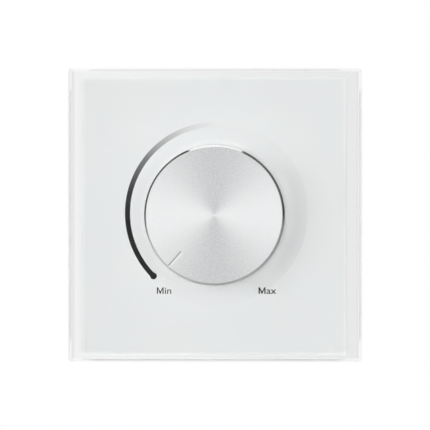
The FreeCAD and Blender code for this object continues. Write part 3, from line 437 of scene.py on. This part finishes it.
def clear_glass():
    """Low-iron glass: polished front and finely ground edges. The clear margin beside the film is tinted
    grey, darker towards the right, and the ground edges carry darker lines: painted shade.
    """
    edge = glass_high.x / MM
    lap = 0.2
    left, low = film_low.x / MM + lap, film_low.z / MM + lap
    right, high = film_high.x / MM - lap, film_high.z / MM - lap
    bench = finish_for("glass")
    place = bench.place()
    x, _, z = bench.axes(place)
    clear = x.over(left, left - lap / 2).either(x.over(right, right + lap / 2))
    clear = clear.either(z.over(low, low - lap / 2)).either(z.over(high, high + lap / 2))
    # Painted shade: the clear margin beside the film is tinted grey, darker towards the right.
    painted_shade_margin = bench.colours(x.over(-38, 38), (0.935, 0.94, 0.94, 1), (0.865, 0.87, 0.87, 1))
    body = bench.colours(clear, (0.993, 0.998, 0.997, 1), painted_shade_margin)
    # Painted shade: grey bands just inside the ground edges, on the right and on the left.
    body = bench.colours(x.over(edge - 1.5, edge - 1.3), body, grey(0.84))
    body = bench.colours(x.over(-edge + 2.1, -edge + 1.1), body, grey(0.82))
    # Painted shade on the ground edges: darker on the left, with a darker line at the outer left and
    # another along the top.
    arris_painted_shade = bench.colours(x.over(-edge + 1.1, -edge + 0.9), grey(1.0), grey(0.93))
    arris_painted_shade = bench.colours(x.over(-edge + 0.4, -edge + 0.3), arris_painted_shade, grey(0.84))
    painted_shade_top_line = z.over(edge - 0.92, edge - 0.86) * z.over(edge - 0.52, edge - 0.58)
    arris_painted_shade = bench.colours(painted_shade_top_line, arris_painted_shade, grey(0.93))
    outward = x.math("ABSOLUTE").either(z.math("ABSOLUTE"))
    ground = outward.over(edge - 0.96, edge - 0.94)
    side = outward.over(edge - 0.04, edge - 0.02)
    body = bench.colours(ground, body, arris_painted_shade)
    body = bench.colours(side, body, (0.93, 0.98, 0.965, 1))
    strokes = bench.grain(bench.stretched(place, (0.4, 6, 0.4)), 0.5, 2)
    bench.finish(bench.surface({
        "Base Color": body,
        "Roughness": ground * strokes.spread(0.2, 0.24),
        "IOR": 1.5,
        "Transmission Weight": 1.0,
        "Normal": bench.bump(strokes * side, 0.002),
    }))


# Metals


def spun_aluminium():
    """Knob: face spun in fine rings, side turned, bevel and pointer cut bright."""
    face_rim = knob_rim - knob_bevel
    bevel_foot = knob_face + knob_bevel
    groove_foot = knob_face + 0.95
    ring_density = 9
    bench = finish_for("spun_aluminium")
    place = bench.place()
    x, y, z = bench.axes(place)
    radius = reach(x, z)
    rings = bench.grain(bench.joined(radius * ring_density, y * ring_density, 0.0), 1.0, 3)
    speck = bench.grain(place, 0.22, 2, 0.7)
    face = y.over(knob_face + 0.03, knob_face + 0.01)
    side = y.over(bevel_foot - 0.02, bevel_foot + 0.02)
    trim = (radius + x / radius * painted_rim_shift).over(face_rim - 0.03, face_rim + 0.01)
    within = radius.over(face_rim - 0.01, face_rim - 0.03)
    groove = (1 - face) * within * y.over(groove_foot + 0.05, groove_foot - 0.05)
    bevel = (1 - face) * (1 - side) * (1 - within)
    bright = groove.either(bevel * trim)
    across = z * math.cos(pointer_angle) - x * math.sin(pointer_angle)
    dark_flank = across.over(pointer_root + 0.02, pointer_root - 0.02)
    tone = bench.colours(speck.over(0.35, 0.65), (0.93, 0.935, 0.94, 1), (0.875, 0.88, 0.885, 1))
    blotch = bench.grain(place, 0.5, 2, 0.7).over(0.4, 0.6)
    # The blotches are grain; weighted towards the top and the bottom of the face, they also darken those
    # sectors: painted shade.
    painted_shade_upright = (z / radius) ** 4
    tone = bench.colours(blotch * (painted_shade_upright * 0.6 + 0.16), tone, (0.78, 0.79, 0.8, 1))
    # Painted shade: a dark line at the rim of the face on its right side, from the rim circle drawn off
    # centre.
    tone = bench.colours(face * trim * 0.7, tone, grey(0.2))
    # Painted highlight: a paler spot at the very centre of the face.
    tone = bench.colours(radius.over(0.4, 0.1), tone, grey(0.99))
    spun = bench.surface({
        "Base Color": tone,
        "Metallic": 1.0,
        "Roughness": (rings.spread(0.36, 0.46) + speck.spread(-0.05, 0.05)) * (1 - side * 0.7),
        "Anisotropic": 0.85,
        "Anisotropic Rotation": 0.25,
        "Tangent": bench.add("ShaderNodeTangent", {"direction_type": "RADIAL", "axis": "Y"}),
        "Normal": bench.bump(speck, 0.008, bench.bump(rings, 0.0015)),
    })
    cut_density = 20
    polish = bench.grain(bench.joined(radius * cut_density, y * cut_density, 0.0), 1.0, 2)
    cut_tone = bench.colours(polish, (0.93, 0.93, 0.935, 1), (0.89, 0.89, 0.9, 1))
    # Painted shade: the wide flank of the pointer groove is darker than the narrow one, which dims its
    # highlight.
    cut_tone = bench.colours(groove * (1 - dark_flank), cut_tone, grey(0.74))
    cut = bench.surface({
        "Base Color": cut_tone,
        "Metallic": 1.0,
        "Roughness": polish.spread(0.06, 0.12),
    })
    bench.finish(bench.add("ShaderNodeMixShader", None, {0: bright, 1: spun, 2: cut}))


def worked_metal(slot, colour, roughness, stretch, size, depth, stain=None, stain_share=0.0):
    """Metal with its working marks drawn out along one way, and faint stains."""
    bench = finish_for(slot)
    place = bench.place()
    marks = bench.grain(bench.stretched(place, stretch), size, 4)
    wide = bench.grain(place, 7.0, 3)
    tone = bench.colours(marks, shade(colour, 0.9), shade(colour, 1.05))
    if stain:
        tone = bench.colours(wide.over(0.45, 0.75) * stain_share, tone, (*stain, 1))
    bench.finish(bench.surface({
        "Base Color": tone,
        "Metallic": 1.0,
        "Roughness": marks.spread(roughness - 0.08, roughness + 0.08) + wide.spread(-0.06, 0.06),
        "Normal": bench.bump(marks, depth),
    }))


def zinc_sheet():
    """Rolled and zinc-plated steel: rolling lines and cloudy crystals."""
    bench = finish_for("zinc_steel")
    place = bench.place()
    roll = bench.grain(bench.stretched(place, (0.08, 1, 2.2)), 0.6, 3)
    cloud = bench.grain(place, 5.0, 4, 0.6)
    crystals = bench.add("ShaderNodeTexVoronoi", {"feature": "F1"}, {"Vector": place, "Scale": 0.45})
    flake = bench.add("ShaderNodeSeparateColor", None, {0: crystals["Color"]})
    tone = bench.colours(cloud.over(0.3, 0.7), (0.6, 0.62, 0.65, 1), (0.72, 0.73, 0.74, 1))
    tone = bench.colours(flake * 0.14, tone, (0.5, 0.53, 0.58, 1))
    bench.finish(bench.surface({
        "Base Color": tone,
        "Metallic": 1.0,
        "Roughness": roll.spread(0.3, 0.44) + flake.spread(-0.04, 0.06),
        "Normal": bench.bump(roll, 0.003, bench.bump(cloud, 0.02)),
    }))


def enamelled_wire():
    """Copper wire under clear enamel, with lighter and darker turns."""
    bench = finish_for("copper_wire")
    place = bench.place()
    turns = bench.grain(place, 1.6, 2)
    fine = bench.grain(place, 0.25, 2)
    bench.finish(bench.surface({
        "Base Color": bench.colours(turns.over(0.3, 0.7), (0.62, 0.24, 0.1, 1), (0.75, 0.34, 0.16, 1)),
        "Metallic": 0.9,
        "Roughness": fine.spread(0.2, 0.34),
        "Coat Weight": 0.6,
        "Coat Roughness": 0.08,
        "Normal": bench.bump(fine, 0.004),
    }))


# One finish for every slot. Plastics: colour, roughness, grain size and depth, coat, flow marks.
# Metals: colour, roughness, how the marks are drawn out, their size and depth, stain and its share.

spun_aluminium()
clear_glass()
film_white()
scale_ink()
word_ink()
moulded("white_frame", (0.92, 0.925, 0.925), 0.34, 0.28, 0.004, 0.1, 0.01)
moulded("insert_plastic", (0.8, 0.8, 0.78), 0.42, 0.25, 0.008)
moulded("black_plastic", (0.02, 0.02, 0.022), 0.38, 0.25, 0.008, 0.1, 0.1)
moulded("natural_plastic", (0.74, 0.72, 0.65), 0.36, 0.4, 0.005, 0.1)
moulded("grey_housing", (0.56, 0.58, 0.6), 0.48, 0.3, 0.014, 0.0, 0.03)
moulded("terminal_plastic", (0.66, 0.66, 0.63), 0.4, 0.3, 0.008)
moulded("capacitor_yellow", (0.72, 0.5, 0.08), 0.3, 0.5, 0.006, 0.2)
moulded("varistor_blue", (0.03, 0.12, 0.42), 0.3, 0.9, 0.03, 0.4, 0.1)
moulded("core_grey", (0.09, 0.1, 0.11), 0.5, 0.25, 0.02, 0.0, 0.1)
ceramic_fuse()
track_laminate()
printed_board()
resistor_lacquer()
capacitor_sleeve()
zinc_sheet()
enamelled_wire()
worked_metal("spring_steel", (0.56, 0.56, 0.57), 0.28, (1, 1, 1), 0.4, 0.003)
worked_metal("spindle_metal", (0.66, 0.66, 0.67), 0.26, (0.2, 4, 0.2), 0.5, 0.004)
worked_metal("nickel_brass", (0.72, 0.69, 0.61), 0.24, (0.3, 3, 0.3), 0.6, 0.003, (0.6, 0.52, 0.36), 0.2)
worked_metal("zinc_screws", (0.68, 0.69, 0.71), 0.3, (1, 1, 1), 0.5, 0.004, (0.62, 0.6, 0.5), 0.25)
worked_metal("tinned_brass", (0.7, 0.69, 0.66), 0.3, (1, 1, 1), 0.5, 0.004, (0.62, 0.5, 0.3), 0.3)
worked_metal("contact_brass", (0.76, 0.57, 0.26), 0.26, (1, 1, 1), 0.5, 0.003, (0.5, 0.33, 0.15), 0.3)
worked_metal("sink_aluminium", (0.62, 0.63, 0.65), 0.38, (3, 0.1, 3), 0.5, 0.006)


# Printed words under the glass


def deepen_first_letter(outline):
    """Draws the V of the letter M down to the line that the word stands on, and widens its foot."""
    middle_share, foot_spread, notch_height = 0.05, 3.6, 0.34
    letter = min(outline.splines, key=lambda spline: min(p.co.x for p in spline.bezier_points))
    top = max(p.co.y for p in letter.bezier_points)
    middle = sum(p.co.x for p in letter.bezier_points) / len(letter.bezier_points)
    for point in letter.bezier_points:
        off = point.co.x - middle
        if abs(off) < top * middle_share:
            point.co.x = middle + off * foot_spread
            point.co.y = top * notch_height if point.co.y > top / 2 else 0.0


def span(mesh, axis):
    """The lowest and the highest place of a mesh along one axis."""
    places = [vertex.co[axis] for vertex in mesh.vertices]
    return min(places), max(places)


def printed_word(name, word, left, right, baseline, cap_height, swell):
    """A word on the film between two places, its first letter cap_height tall, bolder by swell."""
    bpy.ops.object.select_all(action="DESELECT")
    bpy.ops.object.text_add(location=(0, 0, 0))
    piece = bpy.context.object
    piece.data.body = word
    piece.data.size = drawn_size
    bpy.ops.object.convert(target="CURVE")
    piece = bpy.context.object
    deepen_first_letter(piece.data)
    piece.data.extrude = word_depth / 2
    piece.data.bevel_depth = swell
    piece.data.bevel_resolution = 0
    bpy.ops.object.convert(target="MESH")
    piece = bpy.context.object
    piece.name = name
    mesh = piece.data
    start, end = span(mesh, 0)
    back, front = span(mesh, 2)
    first = [v.co.y for v in mesh.vertices if v.co.x < start + (end - start) / 4]
    wide = (right - left) * MM / (end - start)
    tall = cap_height * MM / (max(first) - min(first))
    deep = word_depth * MM / (front - back)
    mesh.transform(Matrix.Diagonal((wide, tall, deep, 1)))
    mesh.transform(Matrix.Rotation(math.pi / 2, 4, "X"))
    along = left * MM - span(mesh, 0)[0]
    out = film_low.y - word_gap * MM - span(mesh, 1)[1]
    up = baseline * MM - span(mesh, 2)[0]
    mesh.transform(Matrix.Translation((along, out, up)))
    bpy.ops.object.mode_set(mode="EDIT")
    bpy.ops.mesh.select_all(action="SELECT")
    bpy.ops.mesh.remove_doubles(threshold=1e-7)
    bpy.ops.mesh.normals_make_consistent(inside=False)
    bpy.ops.object.mode_set(mode="OBJECT")
    mesh.materials.clear()
    mesh.materials.append(finishes["scale_words"])
    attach(piece, "base")


printed_word("word_min", "Min", left=-17.1, right=-12.9, baseline=-23.2, cap_height=1.95, swell=0.018)
printed_word("word_max", "Max", left=12.75, right=18.0, baseline=-23.2, cap_height=1.95, swell=0.032)


# The return spring


def sprung_coil(name, node, turns, wire_width):
    """A coil wound as the rigid solid is, in its place."""
    wire_sides, steps_a_turn = 16, 32
    low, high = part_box(node)
    wire = wire_width * MM / 2
    length = high.y - low.y
    bpy.ops.object.select_all(action="DESELECT")
    bpy.ops.mesh.primitive_circle_add(
        vertices=wire_sides, radius=wire, location=(high.x - wire, 0, 0), rotation=(math.pi / 2, 0, 0))
    bpy.ops.object.transform_apply(location=True, rotation=True, scale=True)
    piece = bpy.context.object
    piece.name = name
    bpy.ops.object.modifier_add(type="SCREW")
    winding = piece.modifiers[-1]
    winding.angle = 2 * math.pi * turns
    winding.screw_offset = length - 2 * wire
    winding.steps = round(steps_a_turn * turns)
    winding.render_steps = winding.steps
    bpy.ops.object.modifier_apply(modifier=winding.name)
    bpy.ops.object.mode_set(mode="EDIT")
    bpy.ops.mesh.select_all(action="SELECT")
    bpy.ops.mesh.fill_holes(sides=wire_sides)
    bpy.ops.mesh.select_all(action="SELECT")
    bpy.ops.mesh.remove_doubles(threshold=1e-7)
    bpy.ops.mesh.normals_make_consistent(inside=False)
    bpy.ops.object.mode_set(mode="OBJECT")
    bpy.ops.object.shade_smooth_by_angle(angle=math.radians(40))
    mesh = piece.data
    mesh.transform(Matrix.Translation((0, low.y + wire, 0)) @ Matrix.Rotation(-math.pi / 2, 4, "X"))
    mesh.materials.clear()
    mesh.materials.append(finishes["spring_steel"])
    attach(piece, "base")
    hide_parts(node)
    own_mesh(piece)


sprung_coil("spring_coil", "return_spring", turns=3.5, wire_width=0.4)

for node in nodes.values():
    for held in node.material_slots:
        held.material = finishes[held.material.name]


# Studio: the light, a pale floor under the piece and the camera

scene = bpy.context.scene
scene.view_settings.view_transform = "Standard"
scene.cycles.blur_glossy = 0.0


def studio_light():
    """The light, by direction and by what looks at it: surfaces get soft light, the film behind
    the glass a softly lit screen, metals a room with darker flags, and the camera plain white."""
    world = bpy.data.worlds.new("studio")
    scene.world = world
    world.use_nodes = True
    bench = Bench(world.node_tree)
    aim = bench.add("ShaderNodeTexCoord")["Generated"]
    path = bench.add("ShaderNodeLightPath")
    x, y, z = bench.axes(aim)
    front = -y
    off_axis = reach(x, z).degrees_from(front)
    room = off_axis.over(9, 6)
    beside = off_axis.over(68, 84)
    behind = off_axis.over(96, 112)

    def lobe(lean, turn):
        """A soft source leaning that many degrees from the axis, turned that far round it."""
        lean, turn = math.radians(lean), math.radians(turn)
        centre = (math.sin(lean) * math.cos(turn), -math.cos(lean), math.sin(lean) * math.sin(turn))
        near = bench.add("ShaderNodeVectorMath", {"operation": "DOT_PRODUCT"}, {0: aim, 1: centre})
        return near["Value"].over(0.6, 1.0)

    # On surfaces, and through the glass on the film
    back_light = 0.45 + z.over(-0.9, 0.9) * 0.5 + x.over(0.8, -0.8) * 0.15
    soft = off_axis.over(30, 6) * 7.0 + lobe(45, 145) * 0.65 + lobe(45, 250) * 0.35 + lobe(75, 0) * 0.22
    aside = x.degrees_from(front) + 4.2
    above = z.degrees_from(front) - 2.6
    screen = reach(aside / 28, above / 18).over(1.0, 0.8)
    printed = screen * 7.35 + lobe(45, 150) * 0.17
    printed = printed + lobe(75, 0) * 0.45 + lobe(75, 180) * 0.35 + lobe(75, 90) * 0.12
    through = path["Is Transmission Ray"]
    soft = soft * (1 - through) + printed * through
    fill = 0.2 + path["Is Diffuse Ray"] * (0.8 + x.over(0, 0.5) * 0.6)
    soft = soft + beside * (1 - behind) * fill + behind * back_light

    # What metals reflect: two lit sides, a lighter rim and, beside the piece, a ring of flags
    level = (x * x) / (x * x + z * z + 0.0001)
    inner = off_axis.over(10, 26)
    outer = off_axis.over(32, 50)
    sides = level * (1.42 + x.over(0.2, -0.2) * 0.1) + (1 - level) * 0.48
    rim = 0.42 + x.over(0.6, -0.6) * 0.75 + z.over(-0.6, 0.7) * 0.3
    rim = rim * (1 - off_axis.over(50, 60) * 0.5)
    wide = 0.8 * (1 - inner) + inner * ((1 - outer) * sides + outer * rim)

    turn = z.degrees_from(x) / full_turn
    turn = turn + (1 - turn.over(-0.0001, 0.0001))
    stops = [
        (0.0, 0.03), (0.035, 0.11), (0.08, 0.12), (0.13, 0.15), (0.165, 0.11), (0.184, 0.11),
        (0.1875, 1.0), (0.31, 1.05), (0.3135, 0.04), (0.36, 0.17), (0.42, 0.11), (0.47, 0.09),
        (0.5, 0.07), (0.53, 0.33), (0.56, 0.5), (0.62, 0.57), (0.67, 0.5), (0.71, 0.43),
        (0.75, 0.37), (0.83, 0.42), (0.9, 0.34), (0.94, 0.28), (0.975, 0.26), (1.0, 0.03),
    ]
    ring = bench.add("ShaderNodeValToRGB", {"stops": stops}, {"Fac": turn})
    ring = bench.add("ShaderNodeSeparateColor", None, {0: ring})
    mirrored = wide * (1 - beside) + beside * (ring * (1 - behind) + behind * back_light)
    mirrored = mirrored * (1 - room) + room * 0.12

    # Which rays get which light; only rays that no surface has scattered yet see the white
    first = 1 - path["Diffuse Depth"].over(0.4, 0.6)
    away = y.over(-0.1, 0.1)
    glossy = path["Is Glossy Ray"].either(through * (1 - away)) * first
    seen = path["Is Camera Ray"].either(through * first * away)
    light = soft * (1 - glossy) + mirrored * glossy
    light = light * (1 - seen) + seen
    ground = bench.add("ShaderNodeBackground", None, {"Color": grey(1), "Strength": light})
    bench.add("ShaderNodeOutputWorld", None, {"Surface": ground})


def studio_floor(level, size):
    """A pale floor that fades out, so that its far edge never shows, and is clear from below."""
    bpy.ops.object.select_all(action="DESELECT")
    bpy.ops.mesh.primitive_plane_add(size=size, location=(0, 0, level))
    floor = bpy.context.object
    floor.name = "studio_floor"
    floor.visible_glossy = False
    floor.visible_transmission = False
    bench = finish_for("studio_floor")
    x, y, _ = bench.axes(bench.add("ShaderNodeTexCoord")["Object"])
    far = reach(x, y).over(size * 0.2, size * 0.48)
    under = bench.add("ShaderNodeNewGeometry")["Backfacing"]
    pale = bench.add("ShaderNodeBsdfDiffuse", None, {"Color": grey(0.8)})
    seen = bench.add("ShaderNodeLightPath")["Is Camera Ray"]
    glow = bench.add("ShaderNodeEmission", None, {"Color": grey(1), "Strength": seen * 0.3})
    pale = bench.add("ShaderNodeAddShader", None, {0: pale, 1: glow})
    gone = bench.add("ShaderNodeBsdfTransparent")
    bench.finish(bench.add("ShaderNodeMixShader", None, {0: far.either(under), 1: pale, 2: gone}))
    floor.data.materials.append(finishes["studio_floor"])


def stand_camera(place, target, lens):
    """The camera, in front of the knob and a little to its right, as in the photo."""
    bpy.ops.object.camera_add(location=place)
    camera = bpy.context.object
    camera.rotation_euler = (Vector(target) - Vector(place)).to_track_quat("-Z", "Y").to_euler()
    camera.data.sensor_width = 36
    camera.data.lens = lens
    camera.data.clip_start = 0.01
    scene.camera = camera


studio_light()
studio_floor(level=-0.12, size=1.0)
stand_camera(place=(0.0058, -0.572, 0.002), target=(0, glass_low.y, 0), lens=160.3)
